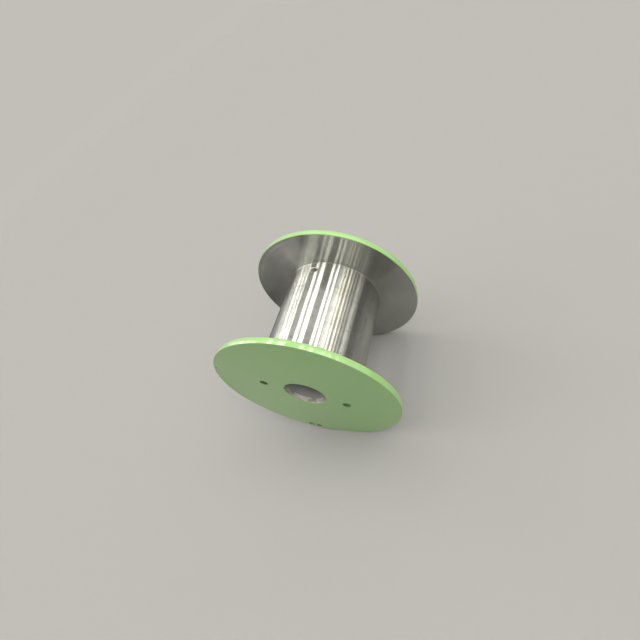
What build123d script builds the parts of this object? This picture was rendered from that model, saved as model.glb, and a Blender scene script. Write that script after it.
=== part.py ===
# Steel cable reel lying on its rims: two flat disc flanges, a barrel between them and a tube through the middle
import os

from build123d import *

# Overall sizes, in millimetres

flange_diameter = 630.0
flange_thickness = 20.0
traverse = 400.0  # clear width for the cable, between the flanges' inner faces
rim_chamfer = 2.0

# Barrel and centre tube

barrel_diameter = 350.0
barrel_wall = 15.0
centre_tube_diameter = 168.0
centre_tube_wall = 11.0
seat_depth = 3.0  # how far both tubes are let into the flanges
seat_clearance = 0.2  # all round each tube in its seat

# Bore for the shaft or pintle

bore_diameter = 140.0
bore_chamfer = 2.5

# Holes in the flanges; angles run from +X towards +Z, seen from the front

drive_hole_diameter = 28.0
drive_pitch_diameter = 282.0
drive_hole_count = 2
drive_angle = 146.7
lead_out_diameter = 22.0
lead_out_inset = 17.0  # from the rim to the middle of the hole
lead_out_count = 2
lead_out_spacing = 6.0  # degrees from one hole of the pair to the other
lead_out_angle = 245.3  # middle of the pair
tie_hole_diameter = 6.0
tie_hole_inset = 8.0
tie_hole_angle = 142.8
hole_chamfer = 1.0

# Hole in the barrel for the cable's first end

start_hole_diameter = 20.0
start_hole_gap = 23.0  # from the rear flange to the edge of the hole
start_hole_angle = 84.8
start_hole_slant = 45.0  # degrees from square to the barrel, round the spindle
start_hole_rounding = 2.5

# Sizes that follow from the ones above

flange_radius = flange_diameter / 2
barrel_radius = barrel_diameter / 2
centre_tube_radius = centre_tube_diameter / 2
bore_radius = bore_diameter / 2
seated_length = traverse + 2 * seat_depth


def flange_blank():
    """Turned disc with its bore and both seats; inner face at z = 0, outer face up."""
    with BuildPart() as disc:
        Cylinder(flange_radius, flange_thickness, align=(Align.CENTER, Align.CENTER, Align.MIN))
        chamfer(disc.edges().filter_by(GeomType.CIRCLE), rim_chamfer)
        Hole(bore_radius)
        chamfer(disc.faces().sort_by(Axis.Z)[-1].inner_wires().edges(), bore_chamfer)
        with BuildSketch(Plane.XY):
            Circle(barrel_radius + seat_clearance)
            Circle(barrel_radius - barrel_wall - seat_clearance, mode=Mode.SUBTRACT)
            Circle(centre_tube_radius + seat_clearance)
        extrude(amount=seat_depth, mode=Mode.SUBTRACT)
    return disc.part


def drill(blank, diameter, pitch_radius, first_angle, count, spacing):
    """Drills through holes on a circle, each with its outer edge broken."""
    with BuildPart() as drilled:
        add(blank)
        outer_face = Plane.XY.offset(flange_thickness)
        with BuildSketch(outer_face) as hole_sketch:
            with PolarLocations(pitch_radius, count, first_angle, spacing * count):
                Circle(diameter / 2)
        extrude(hole_sketch.sketch, amount=-flange_thickness, mode=Mode.SUBTRACT)
        with BuildSketch(outer_face) as mouth_sketch:
            with PolarLocations(pitch_radius, count, first_angle, spacing * count):
                Circle(diameter / 2 + hole_chamfer)
        extrude(mouth_sketch.sketch, amount=-hole_chamfer, taper=45, mode=Mode.SUBTRACT)
    return drilled.part


def flange(has_tie_hole):
    """Disc with its drive holes and lead-out holes, and the tie hole where it has one."""
    disc = flange_blank()
    drive_step = 360 / drive_hole_count
    disc = drill(
        disc, drive_hole_diameter, drive_pitch_diameter / 2, drive_angle, drive_hole_count, drive_step
    )
    first_lead_out = lead_out_angle - lead_out_spacing * (lead_out_count - 1) / 2
    disc = drill(
        disc,
        lead_out_diameter,
        flange_radius - lead_out_inset,
        first_lead_out,
        lead_out_count,
        lead_out_spacing,
    )
    if has_tie_hole:
        disc = drill(disc, tie_hole_diameter, flange_radius - tie_hole_inset, tie_hole_angle, 1, 0)
    return Pos(Z=traverse / 2) * disc


def tube(outer_radius, wall):
    """Tube along z that reaches the bottom of its seat in both flanges."""
    return Cylinder(outer_radius, seated_length) - Cylinder(outer_radius - wall, seated_length)


def start_hole_drill():
    """Drill for the start hole, slanted round the barrel so that the cable comes out along it."""
    height = start_hole_gap + start_hole_diameter / 2 - traverse / 2
    mouth = Rot(Z=start_hole_angle) * Pos(barrel_radius, 0, height)
    reach = 2 * (barrel_wall + start_hole_diameter)
    return mouth * Rot(Z=start_hole_slant) * Rot(Y=90) * Cylinder(start_hole_diameter / 2, reach)


def barrel():
    """Winding barrel with its start hole by the rear flange."""
    return round_start_hole(tube(barrel_radius, barrel_wall) - start_hole_drill())


def round_start_hole(drilled):
    """Rounds the start hole's outer edge, so that it can't cut the cable."""
    outer_skin = drilled.faces().filter_by(GeomType.CYLINDER).sort_by(SortBy.AREA)[-1]
    return fillet(outer_skin.inner_wires().edges(), start_hole_rounding)


def lie_down(piece):
    """Turns the spindle from z to y, front flange towards -y, and lifts the rims to z = 0."""
    return Pos(Z=flange_radius) * Rot(X=90) * piece


front = flange(has_tie_hole=True)
rear = mirror(flange(has_tie_hole=False), about=Plane.XY)

pieces = {
    "front_flange": front,
    "rear_flange": rear,
    "barrel": barrel(),
    "centre_tube": tube(centre_tube_radius, centre_tube_wall),
}

os.makedirs("parts", exist_ok=True)
for name, piece in pieces.items():
    export_step(lie_down(piece), f"parts/{name}.step")
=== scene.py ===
import math

import bmesh
import bpy
from mathutils import Euler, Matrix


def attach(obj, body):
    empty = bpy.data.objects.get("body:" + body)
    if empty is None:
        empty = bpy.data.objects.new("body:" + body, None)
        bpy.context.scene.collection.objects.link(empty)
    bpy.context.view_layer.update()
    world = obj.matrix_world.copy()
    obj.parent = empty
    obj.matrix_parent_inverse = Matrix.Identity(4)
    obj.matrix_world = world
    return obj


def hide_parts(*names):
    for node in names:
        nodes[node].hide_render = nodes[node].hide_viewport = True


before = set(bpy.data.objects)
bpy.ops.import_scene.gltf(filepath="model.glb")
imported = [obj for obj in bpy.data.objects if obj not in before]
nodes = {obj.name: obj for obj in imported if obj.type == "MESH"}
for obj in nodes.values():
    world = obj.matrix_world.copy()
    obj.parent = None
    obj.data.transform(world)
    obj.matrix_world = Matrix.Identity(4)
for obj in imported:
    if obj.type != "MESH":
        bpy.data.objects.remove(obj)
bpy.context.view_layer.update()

# Camera, in metres and degrees

camera_position = (0.7743, -0.6533, 1.2662)
camera_turn = (45.400, 30.206, 17.207)
camera_lens = 21.544
camera_shift = (0.0, -0.0531)

# Floor and the wall far round it, in metres; the wall's own colour is nearly black, so that only its glow shows

floor_reach = 40.0
floor_colour = (0.184, 0.181, 0.174, 1.0)
floor_to_wall = (5.0, 30.0)  # distances between which the floor turns into the wall's glow
wall_profile = [(39.0, -0.5), (39.0, 30.0)]  # radius and height of its foot and its top
wall_steps = 96
wall_glow = (0.538, 0.52, 0.48, 1.0)
wall_colour = (0.002, 0.002, 0.002, 1.0)
studio_roughness = 0.9

# Lamp overhead; the angle that it fills and its turn are in degrees

overhead_energy = 2.85
overhead_angle = 50
overhead_colour = (1.0, 0.99, 0.96)
overhead_turn = (4, 42, 0)

# Sizes of the flanges, in metres; the spindle runs along Y at axis_height

axis_height = 0.315
inner_face = 0.2  # distance of each flange's inner face from the middle of the reel
thickness = 0.02
rim_radius = 0.315
rim_rounding = 0.002
bore_radius = 0.07
bore_chamfer = 0.0025
tube_seat_radius = 0.0842
barrel_seat_inner = 0.1598
barrel_seat_outer = 0.1752
seat_depth = 0.003
barrel_radius = 0.175
bead = 0.0015  # hollow of the ground weld where the barrel meets the flange
toe_line = 0.0003  # depth and half the width of the line round the weld
hole_chamfer = 0.001
edge_support = 0.0004  # width of the flat band beside a rounded edge

# Holes of the flanges: radius, distance from the spindle, angle from +X towards +Z seen from the front

drive_holes = [(0.014, 0.141, 146.7), (0.014, 0.141, 326.7)]
lead_out_holes = [(0.011, 0.298, 242.3), (0.011, 0.298, 248.3)]
tie_hole = (0.003, 0.307, 142.8)

# Steps round each circle of the flanges and along their rounded edges, and the angle in degrees from which an
# edge is shaded sharp

rim_steps = 288
bore_steps = 160
seat_steps = 224
drive_steps = 56
lead_out_steps = 48
tie_steps = 32
rounding_steps = 5
bead_steps = 6
crease_angle = 35

# Materials of a flange, in the order of its slots

paint_slot, rim_slot, hole_slot, edge_slot, face_slot, bore_slot = range(6)

# Light bands of the studio's dome, which run along the spindle: angle round it from +X towards +Z, width,
# radiance and colour

dome_radiance = 0.72
neutral = (1.0, 0.985, 0.95)
cream = (1.0, 0.93, 0.78)
bands = [
    (1.8, 9.0, 1.65, neutral),
    (9.0, 2.4, 0.1, neutral),
    (13.0, 2.6, 1.4, neutral),
    (16.4, 1.8, 0.1, neutral),
    (20.1, 2.6, 3.0, cream),
    (27.6, 4.2, 4.7, cream),
    (32.4, 1.6, 0.8, cream),
    (36.5, 3.8, 5.2, cream),
    (40.0, 1.4, 2.5, cream),
    (43.2, 3.6, 4.8, neutral),
    (47.5, 4.6, 3.2, neutral),
    (51.8, 3.4, 2.5, neutral),
    (58.4, 5.3, 8.2, neutral),
    (63.2, 1.4, 2.4, neutral),
    (68.8, 5.3, 8.2, neutral),
    (79.5, 10.5, 0.55, neutral),
    (92.7, 9.2, 8.2, neutral),
    (100.2, 1.4, 1.2, neutral),
    (106.4, 6.4, 8.2, neutral),
    (117.3, 8.0, 1.0, neutral),
    (126.2, 3.4, 9.4, neutral),
    (130.2, 2.0, 3.5, neutral),
    (134.0, 3.4, 8.6, neutral),
    (138.2, 2.6, 4.9, neutral),
    (144.7, 6.4, 8.0, neutral),
    (155.5, 12.0, 3.0, neutral),
    (165.0, 6.0, 1.5, neutral),
    (173.5, 12.0, 0.5, neutral),
]
band_softness = 0.7  # degrees over which each band's edge fades

# Ends of the bands, as the Y part of the direction, from straight in front of the reel (-1) to straight behind
# it (1): all begin at front_end, the ones past short_from degrees stop at near_end and the others at far_end

front_end = (-0.4, -0.3)
near_end = (0.335, 0.415)
far_end = (0.44, 0.5)
short_from = 120

# Soft lamp behind the reel, which the far rim mirrors: angle, width, near and far end, radiance; then the
# degrees over which its sides fade and the share of Y over which its ends do

back_lamp = (75.0, 90.0, 0.61, 0.7, 2.4)
back_lamp_softness = 12.0
back_lamp_end = 0.02

# Strength of the whole dome by the Y part of the direction

dome_strength = [(-1.0, 0.1), (-0.74, 0.15), (-0.64, 1.8), (-0.42, 1.8), (-0.3, 1.0), (1.0, 1.0)]

# Cards standing beside the reel: name, place along X, front and back end along Y, top and radiance

cards = [
    ("low_card", 0.38, -0.19, 1.6, 0.24, 0.33),
    ("dark_card", 0.8, -0.19, 1.6, 0.288, 0.2),
    ("pale_card", 1.6, -0.19, 1.6, 0.37, 0.95),
    ("left_card", -0.6, -0.32, 0.6, 0.34, 0.3),
    ("dark_left_card", -0.58, -0.32, 0.6, 0.2, 0.08),
    ("pale_left_card", -1.5, -0.19, 1.6, 0.36, 0.55),
]

# Clouds in the materials: scale of their noise, the values between which it fades, first and second colour

barrel_clouds = (14.0, 0.35, 0.65, (0.53, 0.53, 0.485), (0.485, 0.485, 0.44))
# the faint green in the inner face's colours stands in for green paint mirrored in the steel: a painted
# reflection
face_clouds_and_painted_tint = (9.0, 0.35, 0.65, (0.495, 0.5, 0.47), (0.455, 0.46, 0.43))
bore_clouds = (45.0, 0.4, 0.6, (0.27, 0.245, 0.225), (0.5, 0.475, 0.42))
paint_clouds = (7.0, 0.35, 0.65)
thick_paint = (0.965, 1.0, 0.94)  # shares of the paint's colour
thin_paint = (1.035, 1.0, 1.06)
cloud_detail = 3.0

# Specks of dirt: scale of their noise, the values between which it fades, and their colour

barrel_specks = (140.0, 0.7, 0.735, (0.13, 0.12, 0.1))
face_specks = (240.0, 0.76, 0.82, (0.2, 0.19, 0.17))
paint_specks = (150.0, 0.77, 0.81)
paint_speck_share = 0.6  # of the paint's colour
speck_detail = 1.0

# Relief in the materials: scale and detail of its noise, and its depth in metres

barrel_waves = (60.0, 1.0, 0.000008)
wave_stretch = (1.0, 1.6, 1.0)
bore_grooves = (900.0, 2.0, 0.0001)
tube_relief = (25.0, 4.0, 0.0003)
orange_peel = (220.0, 2.0, 0.00004)

# Fine turning grooves of the barrel and the faces: scale and detail of their noise, and how far they tilt

fine_grooves = (3000.0, 1.0)
groove_slope = 2.2

# Barrel, by the distance from the spindle: where a value changes, then the value inside the start hole and the
# one on the polished outside; the second darkens the steel's colour inside the start hole, a painted shade

barrel_roughness = (0.1738, 0.1748, 0.5, 0.1)
barrel_painted_hole_shade = (0.172, 0.1746, 0.55, 1.0)

# Green paints: name, colour, index of refraction and roughness of the clear coat

paints = [
    ("green_paint", (0.172, 0.335, 0.098), 1.55, 0.12),
    # the rims' paint is the same green made greyer: a painted sheen for the whitish sky light the rims mirror
    ("rim_paint_with_painted_sheen", (0.167, 0.3, 0.1), 1.6, 0.05),
    # the paint in the holes is the same green made much darker: shade painted into the holes
    ("green_paint_with_painted_hole_shade", (0.085, 0.15, 0.06), 1.5, 0.3),
    ("green_paint_on_edges", (0.19, 0.28, 0.13), 1.55, 0.2),
]

# Sockets of a Mix node for colours

mix_factor, mix_first, mix_second, mix_result = 0, 6, 7, 2


def add_node(tree, kind, values=None, **settings):
    """New shader node with its settings, and with its inputs fixed or linked."""
    node = tree.nodes.new("ShaderNode" + kind)
    for name, value in settings.items():
        setattr(node, name, value)
    for name, value in (values or {}).items():
        if isinstance(value, bpy.types.NodeSocket):
            tree.links.new(value, node.inputs[name])
        else:
            node.inputs[name].default_value = value
    return node


def math_node(tree, operation, first, second=None):
    """Math on one or two numbers or sockets; returns its output."""
    values = {0: first} if second is None else {0: first, 1: second}
    return add_node(tree, "Math", values, operation=operation).outputs[0]


def vector_node(tree, operation, values):
    """Math on vectors; returns its output, which is a number for a length."""
    node = add_node(tree, "VectorMath", values, operation=operation)
    return node.outputs["Value" if operation == "LENGTH" else "Vector"]


def fade(tree, value, start, end, low, high):
    """Smooth step from low to high, while a value passes from start to end."""
    limits = {"From Min": start, "From Max": end, "To Min": low, "To Max": high}
    ramp = add_node(tree, "MapRange", {"Value": value, **limits}, interpolation_type="SMOOTHSTEP")
    return ramp.outputs["Result"]


def mix_colours(tree, factor, first, second):
    """Colour between two, from the first at 0 to the second at 1."""
    values = {mix_factor: factor, mix_first: first, mix_second: second}
    return add_node(tree, "Mix", values, data_type="RGBA").outputs[mix_result]


def object_place(tree):
    """Place of a point in its object."""
    return add_node(tree, "TexCoord").outputs["Object"]


def along_spindle(tree, vector):
    """Part of a vector along the spindle."""
    return add_node(tree, "SeparateXYZ", {0: vector}).outputs["Y"]


def off_spindle(tree, vector):
    """Part of a vector square to the spindle."""
    return vector_node(tree, "MULTIPLY", {0: vector, 1: (1.0, 0.0, 1.0)})


def principled(name, values):
    """New material with its node tree and its Principled shader."""
    material = bpy.data.materials.new(name)
    material.use_nodes = True
    tree = material.node_tree
    shader = tree.nodes["Principled BSDF"]
    for socket, value in values.items():
        shader.inputs[socket].default_value = value
    return material, tree, shader


def add_object(name, data):
    """New object in the scene."""
    made = bpy.data.objects.new(name, data)
    bpy.context.collection.objects.link(made)
    return made


def add_rectangle(name, corners):
    """New object with a single four-sided face."""
    mesh = bpy.data.meshes.new(name)
    mesh.from_pydata(corners, [], [(0, 1, 2, 3)])
    return add_object(name, mesh)


def add_finished(name, mesh):
    """New object from a finished bmesh."""
    data = bpy.data.meshes.new(name)
    mesh.to_mesh(data)
    mesh.free()
    return add_object(name, data)


def show_only_in(piece, ray):
    """Hides an object from every kind of ray but one."""
    for kind in ("camera", "diffuse", "glossy", "transmission", "volume_scatter", "shadow"):
        setattr(piece, "visible_" + kind, kind == ray)


def make_camera():
    """Camera at the photograph's viewing angle."""
    data = bpy.data.cameras.new("camera")
    data.lens = camera_lens
    data.shift_x, data.shift_y = camera_shift
    camera = add_object("camera", data)
    camera.location = camera_position
    camera.rotation_euler = Euler([math.radians(angle) for angle in camera_turn])
    bpy.context.scene.camera = camera


def make_floor():
    """Plain pale floor, which far from the reel turns into the wall's glow."""
    size = floor_reach
    floor = add_rectangle("floor", [(-size, -size, 0), (size, -size, 0), (size, size, 0), (-size, size, 0)])
    material, tree, shader = principled(
        "floor", {"Roughness": studio_roughness, "Specular IOR Level": 0.0, "Emission Color": wall_glow}
    )
    distance = vector_node(tree, "LENGTH", {0: object_place(tree)})
    far = fade(tree, distance, *floor_to_wall, 0.0, 1.0)
    tree.links.new(mix_colours(tree, far, floor_colour, wall_colour), shader.inputs["Base Color"])
    tree.links.new(far, shader.inputs["Emission Strength"])
    floor.data.materials.append(material)


def make_backdrop():
    """Plain pale wall far round the floor, which only the camera sees and which is lit as the floor is."""
    mesh = bmesh.new()
    sweep(mesh, (0.0, 0.0), wall_profile, wall_steps, (0,))
    for vertex in mesh.verts:
        vertex.co = (vertex.co.x, vertex.co.z, vertex.co.y)
    backdrop = add_finished("backdrop", mesh)
    material, tree, shader = principled(
        "backdrop",
        {
            "Base Color": wall_colour,
            "Roughness": studio_roughness,
            "Specular IOR Level": 0.0,
            "Emission Color": wall_glow,
            "Emission Strength": 1.0,
        },
    )
    upward = add_node(tree, "CombineXYZ", {2: 1.0}).outputs[0]
    tree.links.new(upward, shader.inputs["Normal"])
    backdrop.data.materials.append(material)
    show_only_in(backdrop, "camera")


def lamp_band(tree, angle, middle, width, softness, radiance):
    """Radiance of a band of the dome, with soft sides."""
    offset = math_node(tree, "ABSOLUTE", math_node(tree, "SUBTRACT", angle, middle))
    return fade(tree, offset, width / 2 - softness, width / 2 + softness, radiance, 0.0)


def make_world():
    """Soft dome with long light bands overhead, dark straight in front and strongest beside that."""
    world = bpy.data.worlds.new("studio")
    bpy.context.scene.world = world
    world.use_nodes = True
    tree = world.node_tree
    direction = add_node(tree, "SeparateXYZ", {0: add_node(tree, "TexCoord").outputs["Generated"]})
    along = direction.outputs["Y"]
    turn = math_node(tree, "ARCTAN2", direction.outputs["Z"], direction.outputs["X"])
    angle = math_node(tree, "MULTIPLY", turn, math.degrees(1.0))
    begin = fade(tree, along, *front_end, 0.0, 1.0)
    short_reach = math_node(tree, "MULTIPLY", begin, fade(tree, along, *near_end, 1.0, 0.0))
    long_reach = math_node(tree, "MULTIPLY", begin, fade(tree, along, *far_end, 1.0, 0.0))
    even = {axis: dome_radiance * share for axis, share in enumerate(neutral)}
    total = add_node(tree, "CombineXYZ", even).outputs[0]
    for middle, width, radiance, colour in bands:
        light = lamp_band(tree, angle, middle, width, band_softness, radiance - dome_radiance)
        light = math_node(tree, "MULTIPLY", light, short_reach if middle > short_from else long_reach)
        coloured = vector_node(tree, "SCALE", {0: colour, "Scale": light})
        total = vector_node(tree, "ADD", {0: total, 1: coloured})
    middle, width, near, far, radiance = back_lamp
    light = lamp_band(tree, angle, middle, width, back_lamp_softness, radiance)
    light = math_node(tree, "MULTIPLY", light, fade(tree, along, near, near + back_lamp_end, 0.0, 1.0))
    light = math_node(tree, "MULTIPLY", light, fade(tree, along, far - back_lamp_end, far, 1.0, 0.0))
    total = vector_node(tree, "ADD", {0: total, 1: light})
    strength = dome_strength[0][1]
    for (start, low), (end, high) in zip(dome_strength, dome_strength[1:]):
        strength = math_node(tree, "ADD", fade(tree, along, start, end, 0.0, high - low), strength)
    background = tree.nodes["Background"]
    tree.links.new(total, background.inputs["Color"])
    tree.links.new(strength, background.inputs["Strength"])


def make_overhead():
    """Wide soft lamp overhead for the paint and the floor, which the bare steel doesn't mirror."""
    data = bpy.data.lights.new("overhead", "SUN")
    data.energy = overhead_energy
    data.angle = math.radians(overhead_angle)
    data.color = overhead_colour
    lamp = add_object("overhead", data)
    lamp.rotation_euler = Euler([math.radians(angle) for angle in overhead_turn])
    lamp.visible_glossy = False


def make_card(name, across, front, back, top, radiance):
    """Card standing beside the reel, seen only as a reflection in the bare steel."""
    corners = [(across, front, 0.0), (across, back, 0.0), (across, back, top), (across, front, top)]
    card = add_rectangle(name, corners)
    material, _, _ = principled(
        name,
        {
            "Base Color": (0.0, 0.0, 0.0, 1.0),
            "Specular IOR Level": 0.0,
            "Emission Color": (*neutral, 1.0),
            "Emission Strength": radiance,
        },
    )
    card.data.materials.append(material)
    show_only_in(card, "glossy")


def steel(name, **values):
    """Bare turned steel: its gloss is drawn out across the grooves, which run round the spindle."""
    material, tree, shader = principled(
        name, {"Metallic": 1.0, "Anisotropic": 1.0, "Anisotropic Rotation": 0.25, **values}
    )
    tangent = add_node(tree, "Tangent", direction_type="RADIAL", axis="Y")
    tree.links.new(tangent.outputs["Tangent"], shader.inputs["Tangent"])
    return material, tree, shader


def space_noise(tree, place, scale, detail):
    """Noise over a place in space."""
    values = {"Scale": scale, "Detail": detail, "Vector": place}
    return add_node(tree, "TexNoise", values, noise_dimensions="3D").outputs["Fac"]


def line_noise(tree, number, scale, detail):
    """Noise over a single number."""
    values = {"Scale": scale, "Detail": detail, "W": number}
    return add_node(tree, "TexNoise", values, noise_dimensions="1D").outputs["Fac"]


def relief(tree, noise, over, scale, detail, depth):
    """Normal of a surface whose height is a noise, with its depth in metres."""
    height = noise(tree, over, scale, detail)
    return add_node(tree, "Bump", {"Height": height, "Strength": 1.0, "Distance": depth}).outputs["Normal"]


def clouds(tree, place, scale, start, end, first, second):
    """Colour in soft patches, from the first to the second where a noise passes from start to end."""
    patches = fade(tree, space_noise(tree, place, scale, cloud_detail), start, end, 0.0, 1.0)
    return mix_colours(tree, patches, (*first, 1.0), (*second, 1.0))


def add_specks(tree, under, place, scale, start, end, colour):
    """Colour with sparse small specks of dirt over it."""
    specks = fade(tree, space_noise(tree, place, scale, speck_detail), start, end, 0.0, 1.0)
    return mix_colours(tree, specks, under, (*colour, 1.0))


def groove_slopes(tree, noise, across, normal):
    """Normal tilted to and fro across the fine grooves."""
    tilt = math_node(tree, "MULTIPLY", math_node(tree, "SUBTRACT", noise, 0.5), groove_slope)
    lean = vector_node(tree, "SCALE", {0: across, "Scale": tilt})
    return vector_node(tree, "NORMALIZE", {0: vector_node(tree, "ADD", {0: normal, 1: lean})})


def barrel_steel():
    """Polished barrel, with fine grooves round it, faint clouds, a few specks of dirt and shade painted into
    its start hole.
    """
    material, tree, shader = steel("barrel_steel")
    place = object_place(tree)
    from_axis = vector_node(tree, "ADD", {0: place, 1: (0.0, 0.0, -axis_height)})
    radius = vector_node(tree, "LENGTH", {0: off_spindle(tree, from_axis)})
    tree.links.new(fade(tree, radius, *barrel_roughness), shader.inputs["Roughness"])
    colour = add_specks(tree, clouds(tree, place, *barrel_clouds), place, *barrel_specks)
    # darker colour inside the start hole: painted shade
    painted_hole_shade = fade(tree, radius, *barrel_painted_hole_shade)
    shaded = vector_node(tree, "SCALE", {0: colour, "Scale": painted_hole_shade})
    tree.links.new(shaded, shader.inputs["Base Color"])
    stretched = vector_node(tree, "MULTIPLY", {0: place, 1: wave_stretch})
    wavy = relief(tree, space_noise, stretched, *barrel_waves)
    grooves = line_noise(tree, along_spindle(tree, place), *fine_grooves)
    spindle = add_node(tree, "CombineXYZ", {1: 1.0}).outputs[0]
    tree.links.new(groove_slopes(tree, grooves, spindle, wavy), shader.inputs["Normal"])
    return material


def face_steel():
    """Turned inner face of a flange, with fine rings round the spindle and a faint painted green reflection in
    its colour.
    """
    material, tree, shader = steel("face_steel", Roughness=0.17)
    place = object_place(tree)
    colour = add_specks(tree, clouds(tree, place, *face_clouds_and_painted_tint), place, *face_specks)
    tree.links.new(colour, shader.inputs["Base Color"])
    outward = off_spindle(tree, place)
    rings = line_noise(tree, vector_node(tree, "LENGTH", {0: outward}), *fine_grooves)
    across = vector_node(tree, "NORMALIZE", {0: outward})
    normal = add_node(tree, "NewGeometry").outputs["Normal"]
    tree.links.new(groove_slopes(tree, rings, across, normal), shader.inputs["Normal"])
    return material


def bore_steel():
    """Bored steel inside a flange's hole for the shaft, stained in patches."""
    material, tree, shader = steel("bore_steel", Metallic=0.6, Roughness=0.5)
    place = object_place(tree)
    tree.links.new(clouds(tree, place, *bore_clouds), shader.inputs["Base Color"])
    grooved = relief(tree, line_noise, along_spindle(tree, place), *bore_grooves)
    tree.links.new(grooved, shader.inputs["Normal"])
    return material


def tube_steel():
    """Dull rolled steel inside the centre tube."""
    material, tree, shader = principled(
        "tube_steel", {"Base Color": (0.25, 0.25, 0.235, 1.0), "Metallic": 0.3, "Roughness": 0.6}
    )
    rolled = relief(tree, space_noise, object_place(tree), *tube_relief)
    tree.links.new(rolled, shader.inputs["Normal"])
    return material


def green_paint(name, colour, coat_ior, coat_roughness):
    """Green gloss paint with a faint orange peel, thinner in patches."""
    material, tree, shader = principled(
        name,
        {
            "Roughness": 0.3,
            "Specular IOR Level": 0.2,
            "Coat Weight": 1.0,
            "Coat IOR": coat_ior,
            "Coat Roughness": coat_roughness,
        },
    )
    place = object_place(tree)
    thick = [channel * share for channel, share in zip(colour, thick_paint)]
    thin = [channel * share for channel, share in zip(colour, thin_paint)]
    speck = [channel * paint_speck_share for channel in colour]
    patchy = clouds(tree, place, *paint_clouds, thick, thin)
    tree.links.new(add_specks(tree, patchy, place, *paint_specks, speck), shader.inputs["Base Color"])
    tree.links.new(relief(tree, space_noise, place, *orange_peel), shader.inputs["Normal"])
    return material


def add_loop(mesh, middle, radius, depth, count):
    """Circle of vertices round a point (x, z), at a depth from the flange's inner face."""
    loop = []
    for step in range(count):
        turn = 2 * math.pi * step / count
        place = (middle[0] + radius * math.cos(turn), depth, middle[1] + radius * math.sin(turn))
        loop.append(mesh.verts.new(place))
    for first, second in zip(loop, loop[1:] + loop[:1]):
        mesh.edges.new((first, second))
    return loop


def sweep(mesh, middle, profile, count, slots):
    """Turned surface from a profile of (radius, depth) points; slots gives the material of each band."""
    loops = [add_loop(mesh, middle, radius, depth, count) for radius, depth in profile]
    for band, (near, far) in enumerate(zip(loops, loops[1:])):
        for step in range(count):
            after = (step + 1) % count
            face = mesh.faces.new((near[step], near[after], far[after], far[step]))
            face.material_index = slots[band]
    return loops[0], loops[-1]


def fill(mesh, loops, slot):
    """Flat face between an outer loop and the loops inside it."""
    edges = []
    for loop in loops:
        for first, second in zip(loop, loop[1:] + loop[:1]):
            edges.append(mesh.edges.get((first, second)))
    made = bmesh.ops.triangle_fill(mesh, edges=edges, use_beauty=True)
    for item in made["geom"]:
        if isinstance(item, bmesh.types.BMFace):
            item.material_index = slot


def arc(middle_radius, middle_depth, rounding, start, end, steps):
    """Points of a rounded edge between two angles, in degrees, in the plane of the profile."""
    points = []
    for step in range(steps + 1):
        turn = math.radians(start + (end - start) * step / steps)
        points.append((middle_radius + rounding * math.cos(turn), middle_depth + rounding * math.sin(turn)))
    return points


def hole_middle(distance, angle):
    """Middle of a hole, from its distance to the spindle and its angle."""
    turn = math.radians(angle)
    return distance * math.cos(turn), distance * math.sin(turn)


def bore_hole(mesh, hole, count):
    """Through hole with its outer edge broken; returns its loops on the inner and the outer face."""
    radius, distance, angle = hole
    profile = [
        (radius + edge_support, 0.0),
        (radius, 0.0),
        (radius, thickness - hole_chamfer),
        (radius + hole_chamfer, thickness),
        (radius + hole_chamfer + edge_support, thickness),
    ]
    slots = (face_slot, hole_slot, hole_slot, paint_slot)
    return sweep(mesh, hole_middle(distance, angle), profile, count, slots)


def turn_rim(mesh):
    """Rounded rim of a flange; returns its loops on the inner and the outer face."""
    edge = rim_radius - rim_rounding
    profile = [(edge - edge_support, 0.0)]
    profile += arc(edge, rim_rounding, rim_rounding, -90, 0, rounding_steps)
    profile += arc(edge, thickness - rim_rounding, rim_rounding, 0, 90, rounding_steps)
    profile += [(edge - edge_support, thickness)]
    slots = [face_slot] + [rim_slot] * (2 * rounding_steps + 1) + [paint_slot]
    return sweep(mesh, (0.0, 0.0), profile, rim_steps, slots)


def turn_bore(mesh):
    """Bore of a flange and the seat of the centre tube; returns its loops on the outer and the inner face."""
    mouth = bore_radius + bore_chamfer
    profile = [
        (mouth + edge_support, thickness),
        (mouth, thickness),
        (bore_radius, thickness - bore_chamfer),
        (bore_radius, seat_depth),
        (tube_seat_radius, seat_depth),
        (tube_seat_radius, 0.0),
    ]
    slots = (paint_slot, edge_slot, bore_slot, bore_slot, bore_slot)
    return sweep(mesh, (0.0, 0.0), profile, bore_steps, slots)


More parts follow.
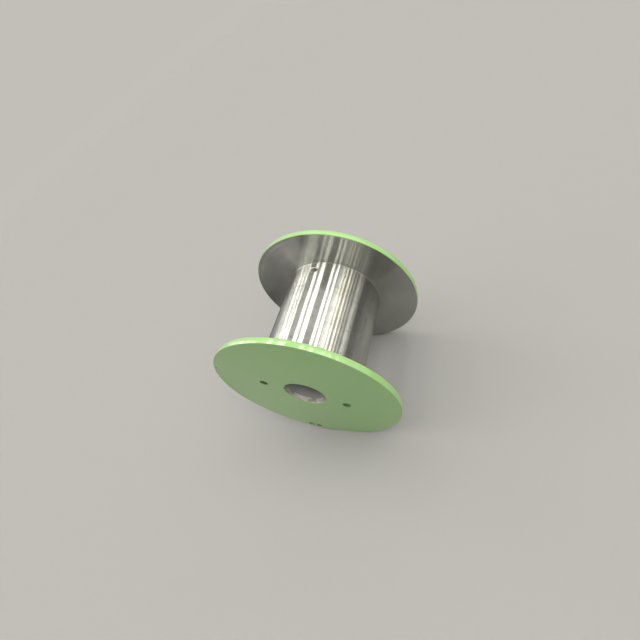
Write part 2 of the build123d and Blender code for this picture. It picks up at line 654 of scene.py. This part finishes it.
def turn_barrel_seat(mesh):
    """Seat of the barrel with the ground weld round it; returns its inner and its outer loop."""
    toe = barrel_radius + bead
    line_end = toe + 2 * toe_line
    profile = [
        (barrel_seat_inner, 0.0),
        (barrel_seat_inner, seat_depth),
        (barrel_seat_outer, seat_depth),
    ]
    profile += arc(toe, -bead, bead, 180, 90, bead_steps)
    profile += [(toe + toe_line, toe_line), (line_end, 0.0), (line_end + edge_support, 0.0)]
    return sweep(mesh, (0.0, 0.0), profile, seat_steps, [face_slot] * (len(profile) - 1))


def make_flange(name, side, has_tie_hole, materials):
    """Disc flange: painted outside and on its rim, bare turned steel inside. side is -1 in front, 1 behind."""
    mesh = bmesh.new()
    rim_inner, rim_outer = turn_rim(mesh)
    bore_outer, bore_inner = turn_bore(mesh)
    seat_inner, seat_outer = turn_barrel_seat(mesh)
    drives = [bore_hole(mesh, hole, drive_steps) for hole in drive_holes]
    edge_holes = [bore_hole(mesh, hole, lead_out_steps) for hole in lead_out_holes]
    if has_tie_hole:
        edge_holes.append(bore_hole(mesh, tie_hole, tie_steps))
    fill(mesh, [rim_outer, bore_outer] + [loops[1] for loops in drives + edge_holes], paint_slot)
    fill(mesh, [rim_inner, seat_outer] + [loops[0] for loops in edge_holes], face_slot)
    fill(mesh, [seat_inner, bore_inner] + [loops[0] for loops in drives], face_slot)
    for vertex in mesh.verts:
        vertex.co.y = side * (inner_face + vertex.co.y)
    bmesh.ops.recalc_face_normals(mesh, faces=mesh.faces)
    for face in mesh.faces:
        face.smooth = True
    for line in mesh.edges:
        line.smooth = line.is_manifold and line.calc_face_angle() < math.radians(crease_angle)
    flange = add_finished(name, mesh)
    for material in materials:
        flange.data.materials.append(material)
    flange.location = (0.0, 0.0, axis_height)
    return flange


def set_material(node, material):
    """Gives a CAD node one material."""
    slots = node.data.materials
    slots.clear()
    slots.append(material)


make_camera()
make_floor()
make_backdrop()
for card in cards:
    make_card(*card)
make_world()
make_overhead()

set_material(nodes["barrel"], barrel_steel())
set_material(nodes["centre_tube"], tube_steel())

flange_materials = [*(green_paint(*paint) for paint in paints), face_steel(), bore_steel()]
for name, side in (("front", -1), ("rear", 1)):
    flange = make_flange(f"{name}_flange_disc", side, side < 0, flange_materials)
    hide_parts(f"{name}_flange")
    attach(flange, "root")

scene = bpy.context.scene
scene.view_settings.view_transform = "Standard"
